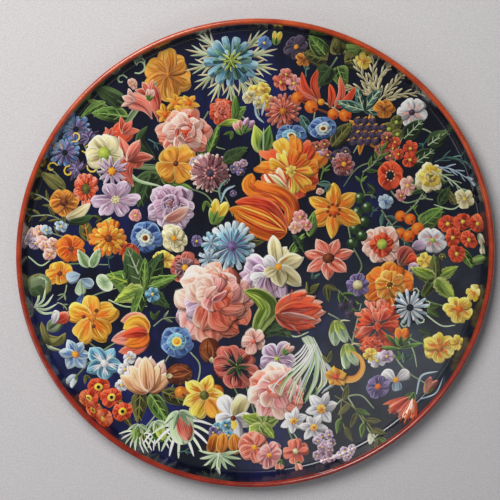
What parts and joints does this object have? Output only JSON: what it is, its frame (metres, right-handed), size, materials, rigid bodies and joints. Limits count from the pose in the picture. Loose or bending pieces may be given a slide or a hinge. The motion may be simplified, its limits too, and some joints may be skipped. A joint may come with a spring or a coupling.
{
  "type": "painted tray",
  "caption": "Large round painted metal serving tray with a flat field, a steep lip, a rolled rim and a hanging ring behind the lip.",
  "frame": {"origin": "centre of the underside, on the plane that the tray rests on", "axes": "+Z out of the painted face, +Y towards the top of the painting, where the hanging ring is, +X to the painting's right"},
  "size_m": [0.4999, 0.5, 0.02],
  "materials": {
    "back_lacquer": "gloss",
    "face_lacquer": "gloss",
    "rim_enamel": "gloss",
    "iron_wire": "satin",
    "tinned_steel": "satin"
  },
  "bodies": {
    "tray": {"tray_pan": "back_lacquer", "rim_wire": "iron_wire", "face_coat": "face_lacquer", "rim_enamel": "rim_enamel", "hanger_strap": "tinned_steel"},
    "ring": {"hanging_ring": "iron_wire"}
  },
  "joints": [
    {"name": "ring_hinge", "type": "hinge", "parent": "tray", "child": "ring", "pos_m": [0, 0.24557, 0.0112], "axis": [1, 0, 0], "range_deg": [-20, 110]}
  ]
}
